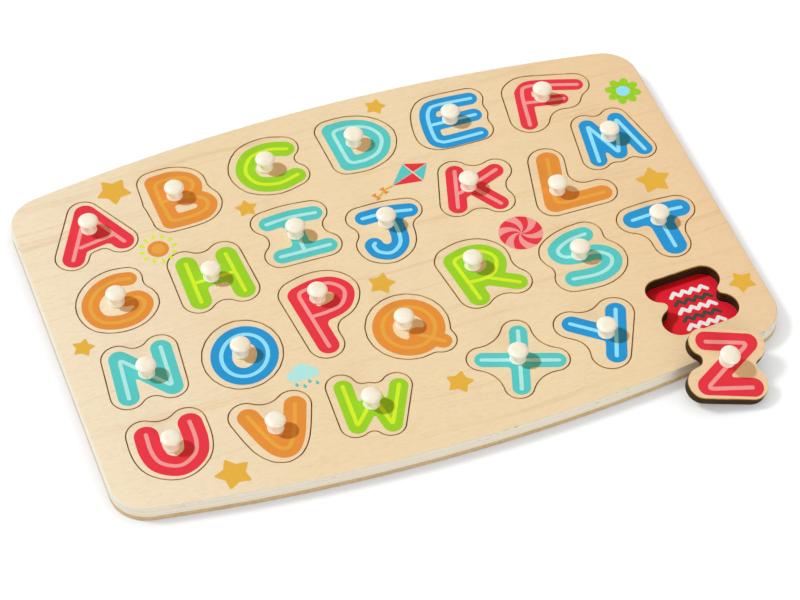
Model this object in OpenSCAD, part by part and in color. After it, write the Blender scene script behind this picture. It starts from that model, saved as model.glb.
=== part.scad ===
// Alphabet peg puzzle: a barrel-shaped ply board with 26 lift-out letter plates, each with a turned knob.
// Millimetres, +Z up. The origin is the middle of the board's underside, with the front edge towards -Y.

/* [Board] */
// Width of the board between its straight sides
board_w = 440; // [430:1:540]
// Depth of the board through its middle, from the front arch to the back arch
board_d = 304; // [300:1:380]
// How far the arched front and back edges swell past the ends of the sides
edge_swell = 21; // [8:1:40]
// Radius of the four corners
corner_r = 24; // [8:1:30]
// Thickness of the top sheet, and of the letter plates cut out of it
sheet_t = 8; // [6:0.5:12]
// Thickness of the backing board
backing_t = 4; // [3:0.5:8]

/* [Letter plates] */
// Reach of an opening past the painted strokes of its letter
opening_margin = 3.6; // [2.5:0.1:4.5]
// Room between a plate and the wall of its opening, on each side
plate_gap = 0.4; // [0.2:0.05:0.8]

/* [Knobs] */
// Diameter of a knob's head
head_d = 13.2; // [10:0.2:18]
// Height of the head's crown above its widest level
crown_h = 2.8; // [1.6:0.2:4]
// Depth of the head's underside below its widest level
under_h = 2; // [1:0.2:3]
// Fullness of the crown, from a plain oval at 2 to nearly flat
crown_fullness = 2.3; // [2:0.1:3]
// Height of a knob above its plate
knob_h = 10.8; // [10:0.2:20]
// Diameter of the neck where it meets the head
neck_d = 8; // [6.6:0.2:9.6]
// Diameter of the foot that stands on the plate
foot_d = 10.6; // [9.8:0.2:14]
// Height of the foot's straight rim
foot_t = 1.4; // [0.5:0.1:2]
// Diameter of the tenon that is glued into the plate
tenon_d = 6; // [4:0.2:8]
// Wood left under the tenon's hole
tenon_floor = 2; // [1:0.5:4]
// Room round the tenon, on each side
tenon_gap = 0.05; // [0.02:0.01:0.2]

/* [Loose letter] */
// Where along the front edge the letter z leans, measured from the middle of the board
lean_x = 166; // [120:1:175]
// How far the middle of the letter z hangs out past the edge, measured along its plate
lean_out = 13; // [8:0.5:18]
// Turn of the letter z in its own plane
lean_turn = -29.5; // [-60:0.5:30]
// Room left between the letter z and what it leans on
lean_gap = 0.3; // [0.1:0.1:1]

/* [Hidden] */
letter_names = "abcdefghijklmnopqrstuvwxyz";

$fa = 12;
$fs = 1.2;

board_t = backing_t + sheet_t;
arch_r = (board_w * board_w / 4 + edge_swell * edge_swell) / (2 * edge_swell);
arch_turn = 0.75;

// The letters' places were drawn for a board of this size and spread with the real one.
drawn_w = 440;
drawn_d = 304;
spread = [board_w / drawn_w, board_d / drawn_d];

ply_colour = "burlywood";
backing_colour = "peru";
knob_colour = "ivory";

// A stroke is a half width and the points of its middle line, and round stretches run on a spline.
spline_steps = 3;
ring_steps = 20;
function spline_point(a, b, c, d, t) =
    (2 * b + (c - a) * t + (2 * a - 5 * b + 4 * c - d) * t ^ 2 + (3 * b - a - 3 * c + d) * t ^ 3) / 2;
function spline(p) = let (last = len(p) - 1) [
    for (i = [0 : last - 1])
        for (k = [0 : spline_steps - 1])
            spline_point(p[max(i - 1, 0)], p[i], p[i + 1], p[min(i + 2, last)], k / spline_steps),
    p[last]
];
function line(half_w, points) = [half_w, points];
function curve(half_w, points) = [half_w, spline(points)];
function turned(p, angle) = [
    p[0] * cos(angle) - p[1] * sin(angle),
    p[0] * sin(angle) + p[1] * cos(angle)
];
function ring(half_w, middle, radii, angle) = [half_w, [
    for (k = [0 : ring_steps])
        let (a = 360 * k / ring_steps)
            middle + turned([radii[0] * cos(a), radii[1] * sin(a)], angle)
]];

// Each letter: its place on the board, its knob's place on the plate, the extra reach of its opening,
// the radius that fills the opening's inner corners, and its strokes.
letters = [
    ["a", [-174, 94], [1.5, 2], 0.3, 6, [
        line(7.3, [[-15.6, -18.2], [2, 16], [18.5, -13.5]]),
        line(5, [[-9, -10.5], [14.5, -6.5]])
    ]],
    ["b", [-113, 104], [1.5, 1.5], 0.8, 14, [
        line(6.2, [[-9, 16.8], [-9.8, 0], [-8, -18]]),
        curve(6.2, [[-9, 16.8], [3, 17.2], [12, 13.6], [14.5, 8], [10, 2], [-9.8, 0]]),
        curve(6.5, [[-9.8, 0], [6, -0.5], [16, -5], [19, -11], [14, -16.6], [3, -18], [-8, -18]])
    ]],
    ["c", [-50, 108], [2.5, 1.5], 0.3, 6, [
        curve(6.6, [[19, 14.5], [8, 17.5], [-5, 14.5], [-12, 3], [-8, -9], [5, -14], [18.5, -11]])
    ]],
    ["d", [13, 108], [2, 3], 0.5, 6, [
        line(6.4, [[-9.5, 17.5], [-8, -13]]),
        curve(6.6, [[-9.5, 17.7], [2, 17.7], [13.6, 13.4], [20.6, 3.5], [15.8, -8.2], [4, -13.6], [-8, -13]])
    ]],
    ["e", [81, 108], [2, 1], 0.9, 10, [
        curve(5.7, [[20.6, 15.2], [-3, 16.6], [-10, 13.8], [-13.8, 5], [-15.4, -8], [-13, -12.4], [-6, -14],
            [16.8, -14]]),
        line(5.8, [[-13.5, 1.5], [18.4, 0.6]])
    ]],
    ["f", [147, 106], [2, 1.5], 1.2, 12, [
        curve(6, [[26.8, 5.6], [12, 9.6], [-5, 14], [-10.6, 12.4]]),
        line(9, [[-9.6, 9.6], [-13, -14]]),
        line(5.6, [[-12, 1], [17.2, -4.2]])
    ]],
    ["g", [-176, 28], [2.5, 2], 0.7, 10, [
        curve(5.7, [[14.4, 18.4], [5, 19.3], [-5, 15.6], [-12.4, 7.4], [-13.8, -2], [-10, -10.2], [0.5, -13.8],
            [11.5, -11.8], [18.8, -4.5], [16.8, 1.8], [8, 2.5]])
    ]],
    ["h", [-112, 29], [1.5, 0.5], 0.6, 10, [
        line(7.1, [[-11.5, 16.5], [-11.8, -15.5]]),
        line(7.1, [[15.3, 16.2], [17.3, -15.5]]),
        line(6, [[-11, 0], [17, 1]])
    ]],
    ["i", [-50, 44], [2, 2], 0.8, 9, [
        curve(6, [[-13, 17.5], [2, 18.6], [18, 17]]),
        line(6, [[-13, -12.5], [18, -13]]),
        line(5.6, [[2.2, 18], [2, -13]])
    ]],
    ["j", [9, 33], [1.5, 2], 0.6, 8, [
        curve(6, [[-12.6, 11.2], [4, 11.2], [18.4, 8.8]]),
        curve(5.8, [[7.4, 9], [7.4, -8], [4.2, -17.8], [-4.4, -22.3], [-12, -19], [-13.8, -13.5], [-13, -12]])
    ]],
    ["k", [70, 46], [2.5, 1], 1, 11, [
        line(6.3, [[-2, 15.8], [-10.6, -11.4]]),
        line(6, [[-6, -1.5], [24.8, 8.6]]),
        line(6, [[3, 2], [17.2, -17.4]])
    ]],
    ["l", [124, 22], [2, 1.5], 1, 10, [
        line(7.8, [[5, 28.2], [-3.2, -7.2]]),
        line(6.4, [[-4.6, -8.6], [28.8, -8.8]])
    ]],
    ["m", [175, 56], [2, 1.5], 0.4, 7, [
        line(5.8, [[-13.5, -15], [-8.8, 16.5], [1.8, -13], [12, 16.5], [19, -15]])
    ]],
    ["n", [-175, -34], [2.5, 1], 0.7, 9, [
        line(6.8, [[-13.8, -12.6], [-11, 17.6], [14, -12.6], [16.6, 17.6]])
    ]],
    ["o", [-115, -40], [2.5, 2.5], 0.4, 6, [
        ring(6.8, [3.2, 1], [15, 17.6], -25)
    ]],
    ["p", [-55, -13], [2.5, 2], 1.2, 10, [
        line(7, [[-9.4, 9], [-4.8, -36]]),
        curve(6.5, [[-9, 10], [2, 12.7], [13, 11.5], [19.3, 4], [15, -5.5], [6, -9.5], [-7, -10.5]])
    ]],
    ["q", [-11, -52], [2.5, 1.5], 0.9, 7, [
        ring(6.5, [4.1, -0.9], [16.1, 16.4], 0),
        line(5.8, [[7, -8], [20, -18.5]])
    ]],
    ["r", [48, -21], [2, 2], 0.8, 14, [
        line(7, [[-9.4, 9.6], [-5, -22.2]]),
        curve(6.5, [[-9, 11], [0, 13.5], [10, 12.5], [16.7, 5.5], [14.5, -4], [6, -9.5], [-6, -9.5]]),
        line(6.4, [[7, -10], [23.3, -19.6]])
    ]],
    ["s", [115, -36], [3, 2], 1.6, 8, [
        curve(6.6, [[13, 16.6], [1, 15], [-9.5, 9.8], [-8, 4.5], [2, 2.5], [14, 1.5], [20.2, -5], [17, -12.5],
            [7, -16.2], [-8.3, -15]])
    ]],
    ["t", [176, -26], [2, 2.5], 0.8, 14, [
        curve(7.4, [[-12.9, 7.9], [2, 8.7], [17.6, 7.9]]),
        line(8, [[2.2, 8], [2.3, -19]])
    ]],
    ["u", [-176, -92], [1, -1.5], 0.3, 14, [
        curve(7.7, [[-12.3, 12], [-12.8, -1], [-9.5, -11], [1, -16.5], [11.5, -11], [15.5, -1], [16, 13]])
    ]],
    ["v", [-112, -101], [1, -1], 0.8, 14, [
        curve(7.1, [[-13.4, 12.8], [-7.3, -9], [0.6, -17.2], [8.5, -9], [17, 12.8]])
    ]],
    ["w", [-52, -106], [2.5, 2], 0.3, 6, [
        line(6, [[-10.8, 20.8], [-12.3, -10.7], [4, 9], [8.5, -16.5], [22.3, 10.8]])
    ]],
    ["x", [47, -102], [1.5, 0.5], 0.3, 20, [
        line(5.8, [[-20, 8], [23.3, -7.8]]),
        line(5.8, [[8.6, 21.6], [-5.7, -20.8]])
    ]],
    ["y", [106, -102], [2.5, 1], 0.9, 14, [
        line(6.7, [[-16, 14.8], [4, -0.6]]),
        line(8.4, [[14, 14.8], [-1, -15.3]])
    ]],
    ["z", [171, -95], [-1, 3.5], 0.3, 4, [
        line(6, [[-16.2, 14.6], [13.9, 16.2]]), line(7, [[13.2, 15], [-13.8, -12.5]]),
        line(7.5, [[-14.9, -13], [14.6, -10.5]])
    ]]
];

function letter(c) = letters[search(c, letters)[0]];
function place(c) = let (p = letter(c)[1]) [p[0] * spread[0], p[1] * spread[1]];
function knob_place(c) = letter(c)[2];
function opening_reach(c) = opening_margin + letter(c)[3];
function fill_r(c) = letter(c)[4];
function strokes(c) = letter(c)[5];

// The leaning letter touches the front arch at lean_x and the table with its outermost rim.
arch_angle = asin(lean_x / arch_r);
arch_y = arch_r - board_d / 2 - arch_r * cos(arch_angle);
lean_rim = opening_reach("z") - plate_gap + max([
    for (s = strokes("z"))
        for (p = s[1])
            s[0] - turned(p, lean_turn)[1]
]);
lean = asin((board_t + lean_gap) / (lean_out + lean_rim));

module stroke(half_w, points) {
    for (p = points)
        translate(p)
            circle(half_w);
    for (i = [1 : len(points) - 1])
        let (run = points[i] - points[i - 1])
            translate(points[i - 1])
                rotate(atan2(run[1], run[0]))
                    translate([0, -half_w])
                        square([norm(run), 2 * half_w]);
}

// Outline of a letter's opening, or with the gap taken off, of its plate
module outline(c, gap) {
    offset(r = -fill_r(c) - gap)
        offset(r = fill_r(c))
            for (s = strokes(c))
                stroke(s[0] + opening_reach(c), s[1]);
}

module arch(side) {
    translate([0, side * (board_d / 2 - arch_r)])
        circle(arch_r, $fa = arch_turn, $fs = 0.1);
}

module barrel() {
    offset(r = corner_r)
        offset(delta = -corner_r)
            intersection() {
                square([board_w, board_d], center = true);
                arch(1);
                arch(-1);
            }
}

// Puts a letter's pieces where they rest: in the opening, or for the letter z against the front edge
module seat(c) {
    if (c == "z")
        translate([lean_x, arch_y, board_t + lean_gap])
            rotate([0, 0, arch_angle])
                rotate([lean, 0, 0])
                    translate([0, -lean_out, 0])
                        rotate([0, 0, lean_turn])
                            children();
    else
        translate([place(c)[0], place(c)[1], backing_t])
            children();
}

module frame_board() {
    color(ply_colour)
        translate([0, 0, backing_t])
            linear_extrude(sheet_t)
                difference() {
                    barrel();
                    for (c = letter_names)
                        translate(place(c))
                            outline(c, 0);
                }
}

module backing_board() {
    color(backing_colour)
        linear_extrude(backing_t)
            barrel();
}

module plate(c) {
    color(ply_colour)
        seat(c)
            difference() {
                linear_extrude(sheet_t)
                    outline(c, plate_gap);
                translate([knob_place(c)[0], knob_place(c)[1], tenon_floor])
                    cylinder(d = tenon_d + 2 * tenon_gap, h = sheet_t, $fn = 48);
            }
}

// Half outline of a knob from its tenon up: foot, waisted neck and a cap with a low crown
tenon_l = sheet_t - tenon_floor - tenon_gap;
head_mid = knob_h - crown_h;
head_steps = 16;
neck_angle = asin(neck_d / head_d);
neck_top = head_mid - under_h * cos(neck_angle);
neck_steps = 6;
function cap_point(a) = a < 90
    ? [head_d / 2 * sin(a), head_mid - under_h * cos(a)]
    : [head_d / 2 * sin(a) ^ (2 / crown_fullness), head_mid + crown_h * (-cos(a)) ^ (2 / crown_fullness)];
knob_outline = concat(
    [[0, -tenon_l], [tenon_d / 2, -tenon_l], [tenon_d / 2, 0], [foot_d / 2, 0], [foot_d / 2, foot_t]],
    [for (k = [1 : neck_steps])
        let (t = k / neck_steps)
            [foot_d / 2 - (foot_d - neck_d) / 2 * sin(90 * t), foot_t + (neck_top - foot_t) * t]],
    [for (k = [1 : head_steps])
        cap_point(neck_angle + (180 - neck_angle) * k / head_steps)]
);

module knob(c) {
    color(knob_colour)
        seat(c)
            translate([knob_place(c)[0], knob_place(c)[1], sheet_t])
                rotate_extrude($fn = 48)
                    polygon(knob_outline);
}

frame_board();
backing_board();
for (c = letter_names) {
    plate(c);
    knob(c);
}
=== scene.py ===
from math import acos, asin, atan2, ceil, cos, pi, radians, sin, tan

import bmesh
import bpy
from mathutils import Matrix, Vector
from mathutils.geometry import delaunay_2d_cdt


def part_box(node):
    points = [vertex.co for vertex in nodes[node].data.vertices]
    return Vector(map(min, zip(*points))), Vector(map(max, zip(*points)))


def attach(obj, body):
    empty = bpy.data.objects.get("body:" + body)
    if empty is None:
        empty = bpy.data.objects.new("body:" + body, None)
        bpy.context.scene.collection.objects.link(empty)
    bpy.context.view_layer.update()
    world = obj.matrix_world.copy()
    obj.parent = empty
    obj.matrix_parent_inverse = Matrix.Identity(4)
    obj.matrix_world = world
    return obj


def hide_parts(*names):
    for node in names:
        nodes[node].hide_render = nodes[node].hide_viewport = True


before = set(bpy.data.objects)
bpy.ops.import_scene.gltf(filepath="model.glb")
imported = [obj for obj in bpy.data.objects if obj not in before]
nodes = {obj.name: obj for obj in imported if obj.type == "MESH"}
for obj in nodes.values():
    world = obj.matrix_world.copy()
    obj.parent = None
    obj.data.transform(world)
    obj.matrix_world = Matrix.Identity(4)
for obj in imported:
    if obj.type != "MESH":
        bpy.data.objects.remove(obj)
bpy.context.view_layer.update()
mm = 0.001
alphabet = "abcdefghijklmnopqrstuvwxyz"
print("frame loaded:", len(nodes), "nodes")

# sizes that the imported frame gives
backingTop, sheetTop = (corner.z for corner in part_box("frame_board"))
sheetT = sheetTop - backingTop


def linked(name, data):  # a new object in the scene
    made = bpy.data.objects.new(name, data)
    bpy.context.scene.collection.objects.link(made)
    return made


def meshFrom(bm, name):
    mesh = bpy.data.meshes.new(name)
    bm.to_mesh(mesh)
    bm.free()
    return mesh


def srgb(red, green, blue):
    levels = [value / 255 for value in (red, green, blue)]
    return tuple(v / 12.92 if v <= 0.04045 else ((v + 0.055) / 1.055) ** 2.4 for v in levels) + (1.0,)


# camera

shot = dict(
    azimuth=-20.12, elevation=48.88, distance=1.8554, target=(-0.0002, -0.0205, 0.0), focalPixels=2894.25,
    imageWidth=800, sensor=36.0)


def setCamera():
    turn, lift = radians(shot["azimuth"]), radians(shot["elevation"])
    back = Vector((sin(turn) * cos(lift), -cos(turn) * cos(lift), sin(lift)))
    lens = bpy.data.cameras.new("shotCamera")
    lens.sensor_fit = "HORIZONTAL"
    lens.sensor_width = shot["sensor"]
    lens.lens = shot["focalPixels"] / shot["imageWidth"] * shot["sensor"]
    camera = linked("shotCamera", lens)
    camera.location = Vector(shot["target"]) + back * shot["distance"]
    camera.rotation_euler = (-back).to_track_quat("-Z", "Y").to_euler()
    bpy.context.scene.camera = camera


setCamera()
print("camera set")


# node wiring, for shaders and for geometry

class Wire:  # one output socket that adds and multiplies like a number
    def __init__(self, tree, socket=None):
        self.tree, self.socket = tree, socket

    def node(self, kind, plugs=None, out=0, **named):  # capital names are sockets, small ones settings
        made = self.tree.nodes.new(kind)
        sockets = dict(plugs or {})
        for name, value in named.items():
            if name[0].isupper():
                sockets[name.replace("_", " ")] = value
            else:
                setattr(made, name, value)
        for key, value in sockets.items():
            if isinstance(value, (Wire, list)):
                for wire in value if isinstance(value, list) else [value]:
                    self.tree.links.new(wire.socket, made.inputs[key])
            else:
                made.inputs[key].default_value = value
        return Wire(self.tree, made.outputs[out] if made.outputs else None)

    def maths(self, operation, *terms):
        return self.node("ShaderNodeMath", dict(enumerate(terms)), operation=operation)

    def __add__(self, other):
        return self.maths("ADD", self, other)

    def __sub__(self, other):
        return self.maths("SUBTRACT", self, other)

    def __rsub__(self, other):
        return self.maths("SUBTRACT", other, self)

    def __mul__(self, other):
        return self.maths("MULTIPLY", self, other)

    __radd__, __rmul__ = __add__, __mul__

    def noise(self, scales, detail=2.0, rough=0.5, shift=(0, 0, 0)):  # clouds, finer along the larger scales
        place = self.node("ShaderNodeVectorMath", {0: self, 1: scales, 2: shift}, operation="MULTIPLY_ADD")
        return place.node("ShaderNodeTexNoise", Vector=place, Scale=1.0, Detail=detail, Roughness=rough)

    def atLeast(self, floor):
        return self.maths("MAXIMUM", self, floor)

    def bounced(self, span):  # up to span and down again, over and over
        return self.maths("PINGPONG", self, span)

    def step(self, low, high):  # 0 at low, 1 at high, smooth between
        return self.node("ShaderNodeMapRange", {0: self, 1: low, 2: high, 3: 0.0, 4: 1.0},
                         interpolation_type="SMOOTHSTEP")

    def mix(self, first, second):  # colour blend with this value as the share of the second
        return self.node("ShaderNodeMix", {0: self, 6: first, 7: second}, out=2, data_type="RGBA")

    def outlets(self):  # every named output of the same node
        return [Wire(self.tree, socket) for socket in self.socket.node.outputs if socket.name]

    def parts(self):
        return self.node("ShaderNodeSeparateXYZ", {0: self}).outlets()


def material(name, paint, **fixed):
    made = bpy.data.materials.new(name)
    made.use_nodes = True
    made.node_tree.nodes.clear()
    start = Wire(made.node_tree)
    shader = start.node("ShaderNodeBsdfPrincipled", paint(start), **fixed)
    shader.node("ShaderNodeOutputMaterial", {0: shader})
    return made


def surface(tone, rough, relief, depth):  # colour, gloss and fine relief
    normal = relief.node("ShaderNodeBump", Strength=1.0, Distance=depth, Height=relief)
    return {"Base Color": tone, "Roughness": rough, "Normal": normal}


def inSheet(start):  # where a point lies in the sheet it was sawn from
    return start.node("ShaderNodeAttribute", out=1, attribute_name="sheet")


def inObject(start):
    return start.node("ShaderNodeTexCoord", out=3)


# wood

birch = dict(
    pale=srgb(243, 224, 192), mid=srgb(240, 215, 173), tan=srgb(238, 206, 161),
    streak=srgb(214, 172, 120), pore=srgb(190, 144, 96), paleX=(-0.2, -0.07), tanX=(0.06, 0.2),
    cloudReach=0.035, lineShare=0.3, fibreShare=0.5, poreShare=0.09, poreDepth=0.02 * mm)
grain = dict(
    sway=(7, 15, 7), swayReach=22 * mm, cloud=(7, 30, 7), line=(3.0, 150, 5), fibre=(230, 900, 60),
    pore=(110, 2400, 60))


def birchGrain(place):
    sway = place.node("ShaderNodeCombineXYZ", {1: (place.noise(grain["sway"]) - 0.5) * grain["swayReach"]})
    bent = place.node("ShaderNodeVectorMath", {0: place, 1: sway}, operation="ADD")
    cloud = bent.noise(grain["cloud"])
    line = bent.noise(grain["line"], 2.0, 0.55, (3.1, 0.4, 0))
    fibre = bent.noise(grain["fibre"], 2.0, 0.6)
    pore = bent.noise(grain["pore"], 1.0, 0.5, (7.0, 2.0, 0))
    return cloud, line.step(0.55, 0.72) * cloud.step(0.3, 0.6), fibre, pore.step(0.66, 0.8)


def birchFace(start):
    place = inSheet(start)
    cloud, lines, fibre, pores = birchGrain(place)
    # the face runs from pale towards -X through mid to tan towards +X across the sheet
    across = place.parts()[0] + (cloud - 0.5) * birch["cloudReach"]
    tone = across.step(*birch["paleX"]).mix(birch["pale"], birch["mid"])
    tone = across.step(*birch["tanX"]).mix(tone, birch["tan"])
    tone = (lines * birch["lineShare"]).mix(tone, birch["streak"])
    flecks = (0.56 - fibre).atLeast(0.0) * birch["fibreShare"] + pores * birch["poreShare"]
    tone = flecks.mix(tone, birch["pore"])
    return surface(tone, 0.5 + 0.14 * fibre, fibre - pores * 0.6, birch["poreDepth"])


plyEdge = dict(
    plies=5, white=srgb(237, 230, 215), cream=srgb(231, 220, 197), glue=srgb(208, 195, 172),
    speck=srgb(120, 100, 78), strand=(70, 70, 2600), specks=(300, 300, 1500), wear=(14, 14, 14),
    ripple=(160, 160, 30), rippleReach=0.3 * mm, depth=0.06 * mm)


def plyLine(place, width, plies):  # 1 on the glue lines between plies
    height = place.parts()[2]
    ripple = place.noise(plyEdge["ripple"], 1.0)
    ply = (height + (ripple - 0.5) * plyEdge["rippleReach"]) * (plies / sheetT)
    return 1.0 - ply.bounced(0.5).step(width * 0.4, width)


def sheetEdge(start):
    place = inSheet(start)
    height = place.parts()[2]
    row = (height * (plyEdge["plies"] / sheetT)).bounced(1.0)
    strand = place.noise(plyEdge["strand"], 3.0, 0.6)
    tone = (row.step(0.3, 0.7) * 0.6 + strand * 0.4).mix(plyEdge["white"], plyEdge["cream"])
    tone = (plyLine(place, 0.12, plyEdge["plies"]) * 0.5).mix(tone, plyEdge["glue"])
    specks = place.noise(plyEdge["specks"], 2.0, 0.7).step(0.6, 0.68)
    worn = place.noise(plyEdge["wear"], 1.0).step(0.42, 0.6)
    worn = worn * height.step(sheetT * 0.45, sheetT * 0.6)
    tone = (specks * worn * 0.55).mix(tone, plyEdge["speck"])
    return surface(tone, 0.62, strand - specks * 0.8, plyEdge["depth"])


sawn = dict(
    plies=4, char=srgb(24, 15, 9), brown=srgb(48, 31, 18), line=srgb(112, 78, 46),
    scuff=srgb(132, 98, 62), smoke=(120, 120, 260), scuffs=(260, 260, 420), depth=0.08 * mm)


def sawnWall(start):
    place = inSheet(start)
    smoke = place.noise(sawn["smoke"], 3.0, 0.6)
    tone = smoke.step(0.42, 0.78).mix(sawn["char"], sawn["brown"])
    tone = (plyLine(place, 0.2, sawn["plies"]) * 0.7).mix(tone, sawn["line"])
    scuffs = place.noise(sawn["scuffs"], 2.0, 0.7).step(0.7, 0.78)
    tone = (scuffs * 0.55).mix(tone, sawn["scuff"])
    return surface(tone, 0.78, smoke, sawn["depth"])


scorch = dict(dark=srgb(160, 114, 40), light=srgb(198, 152, 76), smoke=(110, 110, 110))


def scorchedRim(start):
    smoke = inSheet(start).noise(scorch["smoke"])
    return {"Base Color": smoke.step(0.35, 0.65).mix(scorch["dark"], scorch["light"]), "Roughness": 0.6}


backing = dict(
    edge=srgb(222, 194, 144), dark=srgb(186, 152, 100), under=srgb(222, 196, 152),
    underDark=srgb(206, 174, 126), strand=(60, 60, 2200), chips=(500, 500, 500), edgeDepth=0.08 * mm,
    cloud=(6, 40, 6), fibre=(40, 1100, 40), underDepth=0.06 * mm)


def backingEdge(start):
    place = inObject(start)
    strand = place.noise(backing["strand"], 3.0, 0.6)
    chips = place.noise(backing["chips"], 2.0, 0.7)
    tone = (strand * 0.7 + chips * 0.5).step(0.4, 0.85).mix(backing["edge"], backing["dark"])
    return surface(tone, 0.7, strand, backing["edgeDepth"])


def rawUnderside(start):
    place = inObject(start)
    cloud = place.noise(backing["cloud"], 3.0)
    fibre = place.noise(backing["fibre"], 3.0, 0.6)
    tone = (cloud * 0.7 + fibre * 0.3).step(0.35, 0.7).mix(backing["under"], backing["underDark"])
    return surface(tone, 0.7, fibre, backing["underDepth"])


woods = [material(name, paint, Specular_IOR_Level=shine) for name, paint, shine in [
    ("birchFace", birchFace, 0.3), ("sheetEdge", sheetEdge, 0.5), ("sawnWall", sawnWall, 0.1),
    ("scorchedRim", scorchedRim, 0.1), ("backingEdge", backingEdge, 0.5),
    ("rawUnderside", rawUnderside, 0.5)]]
faceSlot, edgeSlot, sawnSlot, scorchSlot, backSlot, rawSlot = range(len(woods))


# lacquer and inks

knobPaint = dict(
    cream=srgb(247, 239, 219), warm=srgb(241, 229, 203), cloud=(140, 140, 140), peel=(900, 900, 900),
    depth=0.008 * mm)


def knobLacquer(start):
    place = inObject(start)
    cloud = place.noise(knobPaint["cloud"])
    tone = cloud.step(0.4, 0.75).mix(knobPaint["cream"], knobPaint["warm"])
    peel = place.noise(knobPaint["peel"], 1.0)
    return surface(tone, 0.24 + 0.1 * cloud, peel, knobPaint["depth"])


lacquer = material("knobLacquer", knobLacquer, Coat_Weight=0.35, Coat_Roughness=0.12, IOR=1.47)

inkColours = dict(  # a printed face, and where it has one, the light line in it
    red=(srgb(230, 48, 64), srgb(241, 154, 148)),
    orange=(srgb(229, 142, 52), srgb(232, 164, 62)),
    lime=(srgb(152, 207, 30), srgb(212, 237, 42)),
    teal=(srgb(84, 199, 193), srgb(178, 232, 226)),
    blue=(srgb(28, 147, 206), srgb(148, 225, 250)),
    gold=(srgb(230, 176, 60),), crimson=(srgb(236, 22, 44),),
    white=(srgb(244, 242, 236),), charcoal=(srgb(62, 62, 52),),
)
inkCoat = dict(darker=0.86, fibre=(46, 1300, 60), mottle=(420, 420, 420), depth=0.02 * mm)


def inkPaint(colour):
    darker = tuple(channel * inkCoat["darker"] for channel in colour[:3]) + (1.0,)

    def paint(start):
        place = inObject(start)
        fibre = place.noise(inkCoat["fibre"], 2.0, 0.6)
        mottle = place.noise(inkCoat["mottle"], 2.0, 0.6).step(0.45, 0.75)
        tone = ((fibre - 0.5) * 0.5 + mottle * 0.35).atLeast(0.0).mix(colour, darker)
        return surface(tone, 0.42 + 0.12 * fibre, fibre, inkCoat["depth"])
    return paint


inks = {}
for inkName, coats in inkColours.items():
    for part, colour in zip(("", "Line"), coats):
        name = inkName + part
        inks[name] = material("ink" + name[0].upper() + name[1:], inkPaint(colour), Specular_IOR_Level=0.2)
print("materials made:", len(bpy.data.materials))


# flat outlines, in millimetres

arcs = dict(
    discSteps=48, ovalSteps=28, curveSteps=6, ringSteps=48, nearlyStraight=radians(78), longestArc=1.5,
    legShare=0.45, closed=0.01, crowded=0.02, speck=0.05, hollowTurn=-0.1, hollowStep=0.15, grownGap=0.3,
    leastHole=2.0)


def around(middle, radius, angle):
    return Vector((middle[0] + radius * cos(angle), middle[1] + radius * sin(angle)))


def strip(first, last, half):
    side = (Vector(last) - Vector(first)).normalized().orthogonal() * half
    return [Vector(first) - side, Vector(last) - side, Vector(last) + side, Vector(first) + side]


def disc(middle, radius, steps=arcs["discSteps"]):
    return [around(middle, radius, 2 * pi * k / steps) for k in range(steps)]


def turned(point, degrees):
    angle = radians(degrees)
    return Vector((point[0] * cos(angle) - point[1] * sin(angle),
                   point[0] * sin(angle) + point[1] * cos(angle)))


def eased(start, run, lead, follow, t):  # a curve along run that leaves by lead and arrives by follow
    return (start + run * (3 * t ** 2 - 2 * t ** 3) + lead * (t - 2 * t ** 2 + t ** 3)
            + follow * (t ** 3 - t ** 2))


def curveThrough(points):
    dots = [Vector(p) for p in points]
    last, steps = len(dots) - 1, arcs["curveSteps"]
    path = []
    for i in range(last):
        a, b, c, d = dots[max(i - 1, 0)], dots[i], dots[i + 1], dots[min(i + 2, last)]
        path += [eased(b, c - b, (c - a) / 2, (d - b) / 2, k / steps) for k in range(steps)]
    return path + [dots[last]]


def rounded(path, radius):  # a path with its corners turned to arcs
    soft = [path[0]]
    for before, corner, after in zip(path, path[1:], path[2:]):
        back, ahead = before - corner, after - corner
        leg = min(back.length, ahead.length) * arcs["legShare"]
        half = back.angle(ahead) / 2
        if half > arcs["nearlyStraight"]:
            soft.append(corner)
            continue
        reach = min(radius / tan(half), radius * arcs["longestArc"], leg)
        first, last = corner + back.normalized() * reach, corner + ahead.normalized() * reach
        for k in range(arcs["curveSteps"] + 1):
            t = k / arcs["curveSteps"]
            soft.append(first * (1 - t) ** 2 + corner * (2 * t * (1 - t)) + last * t ** 2)
    return soft + [path[-1]]


def oval(length, width, degrees=0, steps=arcs["ovalSteps"]):
    angles = [2 * pi * k / steps for k in range(steps)]
    return [turned((length / 2 * cos(angle), width / 2 * sin(angle)), degrees) for angle in angles]


def isClosed(path):
    return (path[0] - path[-1]).length < arcs["closed"]


def strokeShapes(path, half, roundEnds=True):
    joints = path if roundEnds else path[1:-1]
    if isClosed(path):
        joints = path[1:]
    return [strip(a, b, half) for a, b in zip(path, path[1:])] + [disc(p, half) for p in joints]


def numbered(loops):  # each loop as places in one list of all their points
    places = iter(range(sum(map(len, loops))))
    return [[next(places) for _ in loop] for loop in loops]


def unionLoops(shapes):  # the outlines of overlapping shapes taken together, with the ink on their left
    spots, _, patches, _, _, owners = delaunay_2d_cdt(sum(shapes, []), [], numbered(shapes), 1, 1e-4)
    inked = [patch for patch, owner in zip(patches, owners) if owner]
    sides = {(a, b) for patch in inked for a, b in zip(patch, patch[1:] + patch[:1])}
    border = dict(side for side in sides if side[::-1] not in sides)
    return [[spots[i] for i in loop] for loop in followed(border)]


def followed(links):
    loops = []
    while links:
        start = next(iter(links))
        loop = []
        while start in links:
            loop.append(start)
            start = links.pop(start)
        loops.append(loop)
    return loops


def thinned(loop, least):  # without points that crowd the one before
    kept = []
    for point in loop:
        if not kept or (point - kept[-1]).length > least:
            kept.append(point)
    if len(kept) > 1 and (kept[0] - kept[-1]).length < least:
        kept.pop()
    return kept


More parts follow.
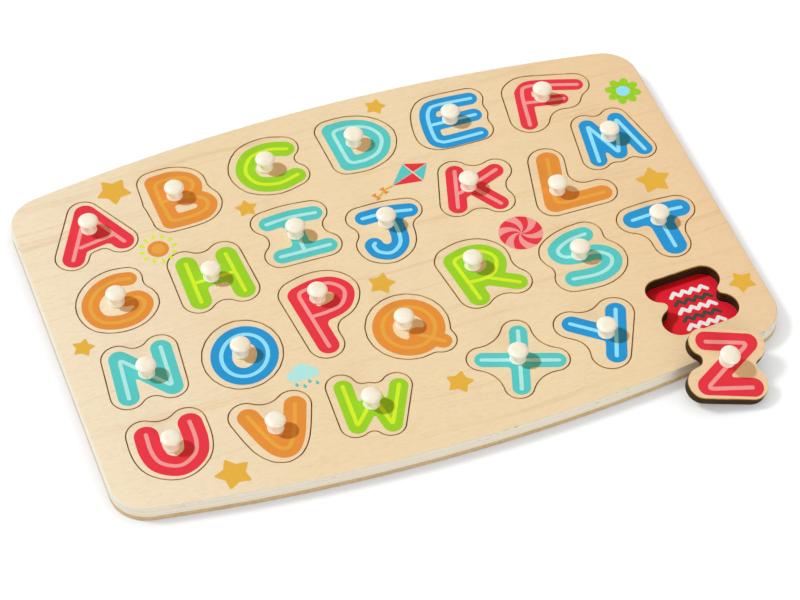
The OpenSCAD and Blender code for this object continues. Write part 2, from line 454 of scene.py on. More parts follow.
def bends(loop):  # each point with the ways in and out of it
    for before, point, after in zip(loop[-1:] + loop, loop, loop[1:] + loop[:1]):
        yield point, (point - before).normalized(), (after - point).normalized()


def drawnIn(loop, reach):  # an outline moved towards its ink, with its hollow corners rounded
    drawn = []
    for point, before, after in bends(loop):
        turn = atan2(before.x * after.y - before.y * after.x, before.dot(after))
        start = atan2(before.x, -before.y)
        if turn < arcs["hollowTurn"]:
            steps = ceil(-turn / arcs["hollowStep"])
            drawn += [around(point, reach, start + turn * k / steps) for k in range(steps + 1)]
        else:
            drawn.append(around(point, reach / cos(turn / 2), start + turn / 2))
    return drawn


def inkLoops(shapes, least=arcs["crowded"]):  # shapes taken together, without specks
    return [thinned(loop, least) for loop in unionLoops(shapes) if abs(areaOf(loop)) > arcs["speck"]]


def centreOf(loop):
    return sum(loop, Vector((0, 0))) / len(loop)


def areaOf(loop):
    return sum(a.x * b.y - b.x * a.y for a, b in zip(loop, loop[1:] + loop[:1])) / 2


def filled(strokes, outerRound, holeRound=None):  # strokes whose hollow corners the ink has filled in
    loops = []
    for reach, wanted in ((outerRound, 1), (holeRound, -1)):
        if not reach:
            continue
        swollen = [shape for half, path in strokes for shape in strokeShapes(path, half + reach)]
        for loop in unionLoops(swollen):
            if areaOf(loop) * wanted > arcs["leastHole"]:
                loops.append(drawnIn(thinned(loop, arcs["grownGap"]), reach))
    return loops


# solids: walls up an outline, then a flat face

def offsetLoop(loop, inset):
    moved = []
    for point, before, after in bends(loop):
        left = Vector((-before.y - after.y, before.x + after.x)).normalized()
        reach = inset(left) if callable(inset) else inset
        moved.append(point + left * (reach / max(left.dot(Vector((-before.y, before.x))), 0.5)))
    return moved


def addWall(bm, loop, steps):
    rings = []
    for inset, height, _ in steps:
        rings.append([bm.verts.new((p.x, p.y, height)) for p in offsetLoop(loop, inset)])
    for low, high, (_, _, slot) in zip(rings, rings[1:], steps):
        for i in range(len(loop)):
            j = (i + 1) % len(loop)
            face = bm.faces.new((low[i], low[j], high[j], high[i]))
            face.material_index = slot
            face.smooth = True
    return rings[0], rings[-1]


def addCap(bm, rings, slot, upward):
    corners = sum(rings, [])
    points = [Vector((v.co.x / mm, v.co.y / mm)) for v in corners]
    _, _, patches, origins, _, _ = delaunay_2d_cdt(points, [], numbered(rings), 2, 1e-6)
    for patch in patches:
        verts = [corners[origins[i][0]] for i in patch]
        bm.faces.new(verts if upward else verts[::-1]).material_index = slot


def addSolid(bm, walls, topSlot, underSlot):
    ends = [addWall(bm, loop, steps) for loop, steps in walls]
    addCap(bm, [high for _, high in ends], topSlot, True)
    addCap(bm, [low for low, _ in ends], underSlot, False)


def placed(name, mesh, materials, body, slotName, matrix=None, stands=()):
    if matrix is not None:
        mesh.transform(matrix)
    for one in materials:
        mesh.materials.append(one)
    piece = linked(name, mesh)
    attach(piece, body)
    if stands:
        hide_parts(*stands)


inkFilm = dict(thick=0.05 * mm, first=1.0, more=0.4)


def picture(name, slotName, coats, base=sheetTop, body="board", matrix=None, **film):
    film = {**inkFilm, **film}
    bm = bmesh.new()
    for layer, (_, loops) in enumerate(coats):  # each coat is a colour and its outlines
        high = base + film["thick"] * (film["first"] + film["more"] * layer)
        steps = [(0, base, layer), (0, high, layer)]
        addSolid(bm, [([p * mm for p in loop], steps) for loop in loops], layer, layer)
    bmesh.ops.recalc_face_normals(bm, faces=bm.faces)
    placed(name, meshFrom(bm, name), [inks[ink] for ink, _ in coats], body, slotName, matrix)


# what the frame says of the sheet: its outlines, and where each letter lies

def topLoops(node, inverse=None):
    bm = bmesh.new()
    bm.from_mesh(nodes[node].data)
    if inverse is not None:
        bm.transform(inverse)
    bmesh.ops.remove_doubles(bm, verts=bm.verts, dist=1e-6)
    high = max(v.co.z for v in bm.verts)
    flat = dict.fromkeys(f for f in bm.faces if all(abs(v.co.z - high) < 1e-5 for v in f.verts))
    follow = {}
    for face in flat:
        for loop in face.loops:
            if not any(other in flat for other in loop.edge.link_faces if other is not face):
                follow[loop.vert] = loop.link_loop_next.vert
    loops = [[Vector((v.co.x, v.co.y)) for v in loop] for loop in followed(follow)]
    bm.free()
    return sorted(loops, key=lambda loop: -abs(areaOf(loop)))


def facing(loop, solidInside):
    return loop if (areaOf(loop) > 0) == solidInside else loop[::-1]


rounding = dict(jog=0.4 * mm, straight=radians(0.8), bendStep=radians(3.0))


def smoothed(loop):  # drops the small jogs of a sawn outline and rounds its facets
    kept = thinned(loop, rounding["jog"])
    count = len(kept)
    runs = [kept[(i + 1) % count] - kept[i] for i in range(count)]
    headings = [(runs[i - 1] + runs[i]).normalized() for i in range(count)]
    fine = []
    for i, run in enumerate(runs):
        first, last = headings[i], headings[(i + 1) % count]
        fine.append(kept[i])
        bend = max(run.angle(first), run.angle(last))
        steps = ceil(2 * bend / rounding["bendStep"]) if bend > rounding["straight"] else 1
        leads = first * run.length, last * run.length
        fine += [eased(kept[i], run, *leads, k / steps) for k in range(1, steps)]
    return fine


leaning = dict(letter="z", turn=-29.5, knobAt=(-1.0, 3.5))


def leaningSeat():  # the loose letter's seat, from its own node's slope and its knob
    letter = leaning["letter"]
    mesh = nodes["plate_" + letter].data
    normal = max(mesh.polygons, key=lambda face: face.area * (face.normal.z > 0)).normal
    heading = atan2(normal.x, -normal.y)
    tilt = acos(normal.z)
    spin = (Matrix.Rotation(heading, 4, "Z") @ Matrix.Rotation(tilt, 4, "X")
            @ Matrix.Rotation(radians(leaning["turn"]), 4, "Z"))
    level = spin.inverted()
    corners = [level @ v.co for v in nodes["knob_" + letter].data.vertices]
    shift = [0, 0, min((level @ v.co).z for v in mesh.vertices)]
    for k, offset in enumerate(leaning["knobAt"]):
        shift[k] = (min(c[k] for c in corners) + max(c[k] for c in corners)) / 2 - offset * mm
    return spin @ Matrix.Translation(shift)


boardLoops = topLoops("frame_board")
outerLoop = facing(smoothed(boardLoops[0]), True)
openings = [facing(smoothed(loop), False) for loop in boardLoops[1:]]
print("outlines read:", len(openings), "openings")


# letters: ink, place on the board, knob on the plate, strokes of half a width and a path

letterInk = dict(
    shift=(1.0, -1.0), lineWidth=1.3, lineReach=1.2, joined=5, lineRound=3.2, holed="abdopqr",
    holeRound=2.0, fillet=1.1, lineCoat=0.8,
    lineRounds=dict(b=6.0, d=7.0, l=6.0, m=1.6, n=2.4, p=5.5, r=5.5, w=1.6),
    fillets=dict(a=3.6, h=3.2, i=3.4, j=3.0, l=6.0, p=4.2, t=4.6, x=2.6, y=2.0, e=1.6))


def line(half, *points):
    return half, [Vector(p) for p in points]


def curve(half, *points):
    return half, curveThrough(points)


def ring(half, middle, radii, degrees=0):
    path = oval(2 * radii[0], 2 * radii[1], degrees, arcs["ringSteps"])
    return half, [Vector(middle) + p for p in path + path[:1]]


letters = dict(
    a=("red", (-174, 94), (1.5, 2), [
        line(7.3, (-16, -18.5), (2, 17.5), (18.5, -13.5)), line(5, (-9, -10.5), (14.5, -6.5))]),
    b=("orange", (-113, 104), (1.5, 1.5), [
        line(6.2, (-9.2, 18), (-8.2, -18.7)),
        curve(6.2, (-9.2, 18), (3, 18.5), (12, 14.5), (14.5, 8), (10, 2), (-8.7, 0)),
        curve(6, (-8.7, 0), (6, -0.4), (16.3, -5), (19.4, -11.1), (14.3, -17.4), (3, -19), (-8.2, -18.9))]),
    c=("lime", (-50, 108), (2.5, 1.5), [
        curve(6.6, (19, 14.5), (8, 17.5), (-5, 14.5), (-12, 3), (-8, -9), (5, -14), (18.5, -11))]),
    d=("teal", (13, 108), (2, 3), [
        line(6.4, (-9.5, 18.5), (-8, -13)),
        curve(6.6, (-9.5, 19), (2, 19), (13, 14.5), (19.5, 4), (14.5, -8), (4, -13.5), (-8, -13))]),
    e=("blue", (81, 108), (2, 1), [
        curve(5.7, (20, 16.5), (-3, 18), (-9.5, 15), (-13, 6), (-14.5, -10), (-12, -15), (-6, -16.5),
              (15.5, -16.5)),
        line(5.8, (-13.5, 1.5), (17.5, 1))]),
    f=("red", (147, 106), (2, 1.5), [
        curve(5.2, (27, 6.3), (8, 12.6), (-4, 15.3), (-9.5, 12)), line(5.8, (-9.9, 10.4), (-16.2, -17.6)),
        line(4.7, (-12, 1.8), (13, -3.2))]),
    g=("orange", (-176, 28), (2.5, 2), [
        curve(5.7, (14, 19.5), (5, 20.5), (-6, 16.5), (-14, 8), (-15.5, -2), (-11, -10.5), (0, -14),
              (11, -12), (18, -4.5), (16, 2), (8, 2.5))]),
    h=("lime", (-112, 29), (1.5, 0.5), [
        line(7.1, (-11.5, 16.5), (-11.8, -15.5)), line(7.1, (15.3, 16.2), (17.3, -15.5)),
        line(6, (-11.2, 0), (15.6, 1))]),
    i=("teal", (-50, 44), (2, 2), [
        curve(6, (-13, 17.5), (2, 18.6), (18, 17)), line(6, (-13, -12.5), (18, -13)),
        line(5.6, (2.2, 18), (2, -13))]),
    j=("blue", (9, 33), (1.5, 2), [
        curve(6, (-11.5, 12), (4, 11.8), (18.5, 9)),
        curve(5.8, (5.5, 9), (5.5, -8), (2.5, -17.5), (-5, -22.3), (-12, -19), (-13.8, -13.5), (-13, -12))]),
    k=("red", (70, 46), (2.5, 1), [
        line(6.3, (-2.5, 17), (-11.2, -12)), line(6, (-6, -1.5), (23, 10)), line(6, (3, 2), (15.7, -18.2))]),
    l=("orange", (124, 22), (2, 1.5), [
        line(7.8, (5.3, 30), (-3.7, -7.2)), line(6.4, (-5, -8.7), (28.5, -9))]),
    m=("blue", (175, 56), (2, 1.5), [
        line(5.8, (-13.5, -15), (-8.8, 16.5), (1.8, -13), (12, 16.5), (19, -15))]),
    n=("teal", (-175, -34), (2.5, 1), [
        line(6.8, (-14.5, -12.7), (-11.6, 18.3), (13.7, -13), (15.8, 18.5))]),
    o=("blue", (-115, -40), (2.5, 2.5), [ring(6.8, (3.2, 1), (14.6, 17.2), -25)]),
    p=("red", (-55, -13), (2.5, 2), [
        line(7, (-9.4, 9), (-4.8, -36)),
        curve(6.5, (-9, 10), (2, 12.7), (13, 11.5), (19.3, 4), (15, -5.5), (6, -9.5), (-7, -10.5))]),
    q=("orange", (-11, -52), (2.5, 1.5), [
        ring(6.5, (3.6, -0.6), (16.6, 17)), line(5.8, (7, -8), (20, -18.5))]),
    r=("lime", (48, -21), (2, 2), [
        line(7, (-9, 10), (-4.6, -23.5)),
        curve(6.5, (-9, 11), (0, 13.5), (10, 12.5), (16.7, 5.5), (14.5, -4), (6, -9.5), (-6, -9.5)),
        line(6.4, (7, -10), (23.3, -19.6))]),
    s=("teal", (115, -36), (3, 2), [
        curve(6.6, (11, 18.7), (0, 17), (-9.5, 11.5), (-8, 5), (2, 2.5), (14, 1.5), (20.5, -5),
              (17, -12.5), (7, -16.2), (-8.3, -15))]),
    t=("blue", (176, -26), (2, 2.5), [
        curve(7.4, (-13.7, 9.2), (2, 10.2), (18, 9.3)), line(8, (2.2, 9), (2.3, -19.7))]),
    u=("red", (-176, -92), (1, -1.5), [
        curve(7.7, (-12.3, 12), (-12.8, -1), (-9.5, -11), (1, -16.5), (11.5, -11), (15.5, -1), (16, 13))]),
    v=("orange", (-112, -101), (1, -1), [
        curve(7.1, (-13.2, 13.3), (-5.5, -10), (1.3, -17), (8.5, -9), (17, 13.4))]),
    w=("lime", (-52, -106), (2.5, 2), [
        line(6, (-10.8, 20.8), (-12.3, -10.7), (4.5, 7.5), (8.5, -16.5), (22.3, 10.8))]),
    x=("teal", (47, -102), (1.5, 0.5), [
        line(5.8, (-20, 8), (23.3, -7.8)), line(5.8, (8.6, 21.6), (-5.7, -20.8))]),
    y=("blue", (106, -102), (2.5, 1), [
        line(6.5, (-16, 16.2), (4, 0)), line(6.7, (14.3, 17.2), (1, -16.3))]),
    z=("red", (171, -95), (-1, 3.5), [
        line(6.4, (-15.8, 16.5), (11.2, 18), (-14.2, -14), (15, -12))]),
)
ownLines = dict(  # light lines that turn more smoothly than the strokes
    b=[line(1, (-8.6, -12), (-9.8, 0), (-9.2, 18.2), (1, 18.6)),
       curve(1, (1, 18.6), (11.5, 16.2), (15, 9.5), (10.5, 2.6), (1, 0.3), (-9.8, 0)),
       curve(1, (-9.8, 0), (6, -0.5), (16.4, -4.4), (19.2, -10.5), (15, -16.4), (4, -18.7)),
       line(1, (4, -18.7), (-8.1, -18.6), (-8.8, -10))],
    d=[line(1, (2, 19.2), (-9.6, 19), (-7.9, -13.4), (3, -13.8)),
       curve(1, (3, -13.8), (13.6, -9.6), (20, 2.8), (14.4, 14.4), (2, 19.2))],
    f=[curve(1, (27, 6.3), (8, 12.6), (-5, 15.6), (-10.5, 10), (-16, -18)),
       line(1, (-12, 1.4), (13.4, -3.2))],
    l=[line(1, (5.3, 30), (-4.6, -8.9), (28.5, -9))],
    p=[line(1, (-4.8, -36), (-9.6, 11.4), (1, 13)),
       curve(1, (1, 13), (12.6, 12.8), (19.6, 4), (14.4, -6.6), (4, -9.8), (-6, -10.4))],
    r=[line(1, (-4.6, -23.5), (-9.6, 11.6), (-1, 13.5)),
       curve(1, (-1, 13.5), (10.4, 13), (17.2, 5.2), (13.4, -5.4), (5, -9.6), (-5.4, -9.5)),
       line(1, (7, -10), (23.3, -19.6))],
    z=[line(1, (-14.4, 16), (11.6, 18), (-14.8, -16.2), (13, -12.4))],
)


def seatOf(letter):
    if letter == leaning["letter"]:
        return leaningSeat()
    place = letters[letter][1]
    return Matrix.Translation((place[0] * mm, place[1] * mm, backingTop))


seats = {letter: seatOf(letter) for letter in alphabet}


# the sheet, its backing and the plates

edges = dict(
    roundOver=0.9 * mm, roundSteps=5, sawChamfer=0.28 * mm, plateChamfer=0.22 * mm, chamferDepth=0.5 * mm,
    wornSide=Vector((0.25, 0.97)), wornShare=0.8, scorchDepth=1.0 * mm, charredDepth=0.55 * mm,
    footChamfer=0.4 * mm, plateLift=0.12 * mm, sharp=radians(38))


def sheetMesh(name, walls, topSlot, place=(0, 0), base=0):  # keeps where each point lies in the sheet
    bm = bmesh.new()
    addSolid(bm, walls, topSlot, rawSlot)
    mesh = meshFrom(bm, name)
    spots = mesh.attributes.new("sheet", "FLOAT_VECTOR", "POINT")
    for vertex, spot in zip(mesh.vertices, spots.data):
        spot.vector = vertex.co + Vector((place[0] * mm, place[1] * mm, -base))
    mesh.set_sharp_from_angle(angle=edges["sharp"])
    return mesh


def rubbed(chamfer):  # a sanded edge, worn more on its far side
    return lambda outward: chamfer * (1 + edges["wornShare"] * outward.dot(edges["wornSide"]))


def openingOf(letter):
    place = Vector(letters[letter][1]) * mm
    return min(openings, key=lambda loop: (centreOf(loop) - place).length)


def cutSteps(letter, base, top, chamfer):  # a sawn wall; round the loose letter it is charred to its edge
    depth = edges["charredDepth" if letter == leaning["letter"] else "scorchDepth"]
    return [(0, base, sawnSlot), (0, top - depth, scorchSlot),
            (0, top - edges["chamferDepth"], scorchSlot), (rubbed(chamfer), top, scorchSlot)]


def makeSheet():
    radius, count = edges["roundOver"], edges["roundSteps"]
    outside = [(0, backingTop, edgeSlot), (0, sheetTop - radius, edgeSlot)]
    for k in range(1, count + 1):
        angle = pi / 2 * k / count
        outside.append((radius * (1 - cos(angle)), sheetTop - radius * (1 - sin(angle)),
                        edgeSlot if k < count - 1 else faceSlot))
    walls = [(outerLoop, outside)]
    for letter in alphabet:
        walls.append((openingOf(letter), cutSteps(letter, backingTop, sheetTop, edges["sawChamfer"])))
    mesh = sheetMesh("sheet", walls, faceSlot, base=backingTop)
    placed("sheet", mesh, woods, "board", "birch_ply", stands=["frame_board"])


def makeBacking():
    cut = edges["footChamfer"]
    steps = [(cut, 0, backSlot), (0, cut, backSlot), (0, backingTop, backSlot)]
    mesh = sheetMesh("backing", [(outerLoop, steps)], rawSlot)
    placed("backing", mesh, woods, "board", "backing_ply", stands=["backing_board"])


def makePlate(letter):
    outline = facing(smoothed(topLoops("plate_" + letter, seats[letter].inverted())[0]), True)
    cut, lift = edges["plateChamfer"], edges["plateLift"]
    steps = [(cut, lift, sawnSlot)] + cutSteps(letter, lift + cut, sheetT, cut)
    name = "plate." + letter
    mesh = sheetMesh(name, [(outline, steps)], faceSlot, letters[letter][1])
    placed(name, mesh, woods, "letter_" + letter, "birch_ply", seats[letter], ["plate_" + letter])


makeSheet()
makeBacking()
for letter in alphabet:
    makePlate(letter)
print("sheet, backing and plates made")


# printed letters

def nearAny(point, paths, reach):
    for path in paths:
        for a, b in zip(path, path[1:]):
            run = b - a
            share = max(0.0, min(1.0, (point - a).dot(run) / max(run.length_squared, 1e-9)))
            if (point - a - run * share).length < reach:
                return True
    return False


def lightLine(path, others):  # a path with its free ends drawn out
    light = list(path)
    for _ in range(0 if isClosed(path) else 2):  # one end, then the other
        if not nearAny(light[-1], others, letterInk["joined"]):
            light.append(light[-1] + (light[-1] - light[-2]).normalized() * letterInk["lineReach"])
        light.reverse()
    return light


def makeLetter(letter):
    ink, _, _, strokes = letters[letter]
    shift = Vector(letterInk["shift"])
    paths = [(half, [p + shift for p in path]) for half, path in strokes]
    lines = [[p + shift for p in path] for _, path in ownLines.get(letter, strokes)]
    turn = letterInk["lineRounds"].get(letter, letterInk["lineRound"])
    light = []
    for path in lines:
        others = [other for other in lines if other is not path]
        light += strokeShapes(rounded(lightLine(path, others), turn), letterInk["lineWidth"])
    fillet = letterInk["fillets"].get(letter, letterInk["fillet"])
    holeRound = letterInk["holeRound"] if letter in letterInk["holed"] else None
    coats = [(ink, filled(paths, fillet, holeRound)), (ink + "Line", inkLoops(light))]
    picture("print." + letter, "ink_" + ink, coats, sheetT, "letter_" + letter, seats[letter],
            more=letterInk["lineCoat"])


for letter in alphabet:
    makeLetter(letter)
print("letters printed")


# knobs: a half outline turned round its axis by geometry nodes

knobShape = dict(
    headAcross=13.2, crown=2.8, under=2.0, fullness=2.3, height=10.8, neck=8.0, foot=10.6, footRim=1.4,
    rimRound=0.5, core=3.0, segments=56, rimSteps=4, neckSteps=12, underSteps=10, crownSteps=18,
    sharp=radians(50))


def shares(steps):  # from the first step to the whole
    return [k / steps for k in range(1, steps + 1)]


def knobOutline():
    half, crown, under = knobShape["headAcross"] / 2, knobShape["crown"], knobShape["under"]
    foot, neck, rim = knobShape["foot"] / 2, knobShape["neck"] / 2, knobShape["footRim"]
    soft, power = knobShape["rimRound"], 2 / knobShape["fullness"]
    middle = knobShape["height"] - crown
    start = asin(neck / half)
    neckTop = middle - under * cos(start)
    points = [(0.0, 0.0)]
    for centre, first, sweep in ((soft, -90, 90), (rim - soft, 0, 72)):  # the foot's two rounded rims
        for k in range(knobShape["rimSteps"] + 1):
            angle = radians(first + sweep * k / knobShape["rimSteps"])
            points.append((foot - soft + soft * cos(angle), centre + soft * sin(angle)))
    wide, low = points[-1]
    for t in shares(knobShape["neckSteps"]):
        points.append((wide - (wide - neck) * sin(pi / 2 * t), low + (neckTop - low) * t))
    for t in shares(knobShape["underSteps"]):
        angle = start + (pi / 2 - start) * t
        points.append((half * sin(angle), middle - under * cos(angle)))
    for t in shares(knobShape["crownSteps"]):
        angle = pi / 2 * t
        points.append((half * max(cos(angle), 0.0) ** power, middle + crown * sin(angle) ** power))
    points[-1] = (0.0, knobShape["height"])
    return [((across - knobShape["core"]) * mm, -height * mm) for across, height in points]


def newTree(name, **sizes):  # a tree whose inputs come back as wires
    tree = bpy.data.node_groups.new(name, "GeometryNodeTree")
    for label, kind in dict(shape="Geometry", **sizes).items():
        tree.interface.new_socket(label, in_out="INPUT", socket_type="NodeSocket" + kind)
    tree.interface.new_socket("shape", in_out="OUTPUT", socket_type="NodeSocketGeometry")
    return Wire(tree).node("NodeGroupInput").outlets()


def endTree(shape, ink):
    whole = shape.node("GeometryNodeRealizeInstances", Geometry=shape)
    painted = shape.node("GeometryNodeSetMaterial", Geometry=whole, Material=ink)
    painted.node("NodeGroupOutput", {0: painted})
    return shape.tree


def grown(source, tree, **values):  # runs a tree on an object and gives back a plain mesh
    modifier = source.modifiers.new("grow", "NODES")
    modifier.node_group = tree
    for item in tree.interface.items_tree:
        if item.in_out == "INPUT" and item.name in values:
            modifier[item.identifier] = values[item.name]
    bpy.context.view_layer.update()
    ready = source.evaluated_get(bpy.context.evaluated_depsgraph_get())
    mesh = bpy.data.meshes.new_from_object(ready)
    source.modifiers.remove(modifier)
    bpy.data.objects.remove(source)
    bm = bmesh.new()
    bm.from_mesh(mesh)
    bmesh.ops.remove_doubles(bm, verts=bm.verts, dist=2e-6)
    bmesh.ops.recalc_face_normals(bm, faces=bm.faces)
    bm.to_mesh(mesh)
    bm.free()
    return mesh


def turnedTree():
    shape, segments, core, paint = newTree("turnedKnob", segments="Int", core="Float", paint="Material")
    path = shape.node("GeometryNodeCurvePrimitiveCircle", Resolution=segments, Radius=core)
    body = shape.node("GeometryNodeCurveToMesh", Curve=path, Profile_Curve=shape)
    body = shape.node("GeometryNodeMergeByDistance", Geometry=body, Distance=2e-6)
    body = shape.node("GeometryNodeSetShadeSmooth", Geometry=body, Shade_Smooth=True)
    return endTree(body, paint)


def makeKnobs():
    profile = bpy.data.curves.new("knobOutline", "CURVE")
    profile.dimensions = "3D"
    spline = profile.splines.new("POLY")
    outline = knobOutline()
    spline.points.add(len(outline) - 1)
    for point, (across, drop) in zip(spline.points, outline):
        point.co = (across, drop, 0.0, 1.0)
    shape = grown(linked("knobOutline", profile), turnedTree(), segments=knobShape["segments"],
                  core=knobShape["core"] * mm, paint=lacquer)
    shape.set_sharp_from_angle(angle=knobShape["sharp"])
    for letter in alphabet:
        across, deep = letters[letter][2]
        seat = seats[letter] @ Matrix.Translation((across * mm, deep * mm, sheetT))
        placed("knob." + letter, shape.copy(), [], "letter_" + letter, "knob_lacquer", seat,
               ["knob_" + letter])


makeKnobs()
print("knobs turned")


# prints on the sheet: stars, and small pictures made of flat shapes

starInk = dict(points=5, inner=0.58, soft=0.07, places=[  # place, reach, turn
    ((-147.9, 123.2), 12.5, 45), ((-70.8, 78.8), 8.0, 84), ((39.8, 138.0), 7.8, 63),
    ((-203.8, 0.6), 7.9, 64), ((-10.1, -13.2), 9.7, 63), ((-145.9, -126.5), 12.6, 28),
    ((7.7, -106.5), 9.6, 62), ((189.3, 10.6), 12.7, 84), ((206.9, -91.0), 9.6, 34)])


def thickened(flat, thickness):  # flat faces made closed coats
    flat = flat.node("GeometryNodeRealizeInstances", Geometry=flat)
    top = flat.node("GeometryNodeExtrudeMesh", Mesh=flat, Offset_Scale=thickness, Individual=False)
    under = flat.node("GeometryNodeFlipFaces", Mesh=flat)
    both = flat.node("GeometryNodeJoinGeometry", Geometry=[top, under])
    return flat.node("GeometryNodeMergeByDistance", Geometry=both, Distance=1e-6)


def spun(angle):
    return angle.node("ShaderNodeCombineXYZ", Z=angle)


def starTree():
    spots, points, inner, soft, film, ink = newTree(
        "printedStars", points="Int", inner="Float", soft="Float", film="Float", ink="Material")
    outline = spots.node("GeometryNodeCurveStar", Points=points, Outer_Radius=1.0, Inner_Radius=inner)
    outline = spots.node("GeometryNodeFilletCurve", Curve=outline, Count=4, Radius=soft, Limit_Radius=True,
                         mode="POLY")
    flat = spots.node("GeometryNodeFillCurve", Curve=outline, mode="NGONS")
    turn, reach = (spots.node("GeometryNodeInputNamedAttribute", Name=field, data_type="FLOAT")
                   for field in ("turn", "reach"))
    stars = spots.node("GeometryNodeInstanceOnPoints", Points=spots, Instance=flat, Scale=reach,
                       Rotation=spun(turn))
    return endTree(thickened(stars, film), ink)


def makeStars():
    places, reaches, turns = zip(*starInk["places"])
    mesh = bpy.data.meshes.new("starPlaces")
    mesh.from_pydata([(x * mm, y * mm, sheetTop) for x, y in places], [], [])
    sizes = dict(reach=[reach * mm for reach in reaches], turn=[radians(turn) for turn in turns])
    for field, values in sizes.items():
        mesh.attributes.new(field, "FLOAT", "POINT").data.foreach_set("value", values)
    mesh = grown(linked("starPlaces", mesh), starTree(), points=starInk["points"], inner=starInk["inner"],
                 soft=starInk["soft"], film=inkFilm["thick"], ink=inks["gold"])
    placed("stars", mesh, [], "board", "ink_gold")


def ringTree():
    petal, count, ring, turn, middle, film, ink = newTree(
        "petalRing", count="Int", ring="Float", turn="Float", middle="Vector", film="Float", ink="Material")
    spots = petal.node("GeometryNodeMeshCircle", Vertices=count, Radius=ring)
    index = petal.node("GeometryNodeInputIndex")
    angle = index.maths("DIVIDE", index * (2 * pi), count)
    petals = petal.node("GeometryNodeInstanceOnPoints", Points=spots, Instance=petal, Rotation=spun(angle))
    petals = petal.node("GeometryNodeTransform", Geometry=petals, Translation=middle, Rotation=spun(turn))
    return endTree(thickened(petals, film), ink)


petalRing = ringTree()


def ringOf(name, ink, shape, count, ring, turn, middle, base=sheetTop, film=inkFilm["thick"]):
    mesh = bpy.data.meshes.new("petal")
    mesh.from_pydata([(p.x * mm, p.y * mm, 0.0) for p in shape], [], [list(range(len(shape)))])
    mesh = grown(linked("petal", mesh), petalRing, count=count, ring=ring * mm, turn=radians(turn),
                 middle=(middle[0] * mm, middle[1] * mm, base), film=film, ink=inks[ink])
    placed(name, mesh, [], "board", "ink_" + ink.replace("Line", ""))


def shifted(shapes, middle, degrees=0):
    return [[turned(p, degrees) + Vector(middle) for p in shape] for shape in shapes]


sunPrint = dict(middle=(-135.3, 64.4), core=7.0, glow=4.4, rays=12, rayStart=10.9, ray=(4.2, 2.2))


def makeSun():
    spot = sunPrint
    ringOf("sun.rays", "limeLine", oval(*spot["ray"]), spot["rays"], spot["rayStart"], 0, spot["middle"])
    picture("sun.core", "ink_orange", [("orange", [disc(spot["middle"], spot["core"])]),
                                       ("orangeLine", [disc(spot["middle"], spot["glow"])])])


flowerPrint = dict(middle=(203.0, 94.4), petals=8, petal=(8.4, 6.2), ring=8.2, turn=20, eye=4.6, eyeCoat=1.6)


def makeFlower():
    spot = flowerPrint
    ringOf("flower.petals", "lime", oval(*spot["petal"]), spot["petals"], spot["ring"], spot["turn"],
           spot["middle"])
    picture("flower.eye", "ink_blue", [("blueLine", [disc(spot["middle"], spot["eye"])])],
            first=spot["eyeCoat"])


swirlPrint = dict(
    middle=(89.7, -3.0), reach=14.5, blades=6, twist=55.0, ease=0.8, hub=0.6, edgeSteps=96, bladeSteps=14,
    rimSteps=6, bladeCoat=1.6)


def makeSwirl():
    spot = swirlPrint
    hub, reach, steps = spot["hub"], spot["reach"], spot["bladeSteps"]
    picture("swirl.base", "ink_red", [("redLine", [disc(spot["middle"], reach, spot["edgeSteps"])])])
    wide, twist = pi / spot["blades"], radians(spot["twist"])
    radii = [hub + (reach - hub) * k / steps for k in range(steps + 1)]
    turns = [twist * (r / reach) ** spot["ease"] for r in radii]
    blade = [around((0, 0), r, turn) for r, turn in zip(radii, turns)]
    blade += [around((0, 0), reach, twist + wide * t) for t in shares(spot["rimSteps"])[:-1]]
    blade += [around((0, 0), r, turn + wide) for r, turn in zip(radii[::-1], turns[::-1])]
    ringOf("swirl.blades", "red", blade, spot["blades"], 0.0, 0, spot["middle"],
           film=inkFilm["thick"] * spot["bladeCoat"])


cloudPrint = dict(
    middle=(-81.8, -68.8), puffs=[((-5.2, 2.2), 4.4), ((0.6, 5.0), 5.4), ((6.0, 2.0), 4.2)],
    base=(2.8, [(-6.4, 0.2), (7.2, 0.2)]), drop=(1.15, 2.6), dropArc=(20, -200), dropSteps=16, gap=0.1,
    drops=[(-6.0, -5.6), (-1.6, -8.2), (2.4, -5.4), (6.6, -8.0)])


def makeCloud():
    spot = cloudPrint
    half, path = spot["base"]
    puffs = [disc(middle, radius) for middle, radius in spot["puffs"]]
    puffs += strokeShapes([Vector(p) for p in path], half)
    small, tall = spot["drop"]
    first, last = (radians(angle) for angle in spot["dropArc"])
    arc = [last + (first - last) * k / spot["dropSteps"] for k in range(spot["dropSteps"] + 1)]
    drop = [Vector((0, tall))] + [around((0, 0), small, angle) for angle in arc]
    drops = [[p + Vector(place) for p in drop] for place in spot["drops"]]
    puffs = inkLoops(shifted(puffs, spot["middle"]), spot["gap"])
    picture("cloud", "ink_teal", [("tealLine", puffs), ("teal", shifted(drops, spot["middle"]))])


kitePrint = dict(
    middle=(38.5, 70.2), tilt=22.0, nose=17.5, side=(4.5, 10.5), heel=-14.0, spar=0.6, tail=15.0,
    tailSteps=40, wave=1.6, cord=0.8, bows=(0.45, 0.95), bow=(2.9, 2.0), gap=0.05)


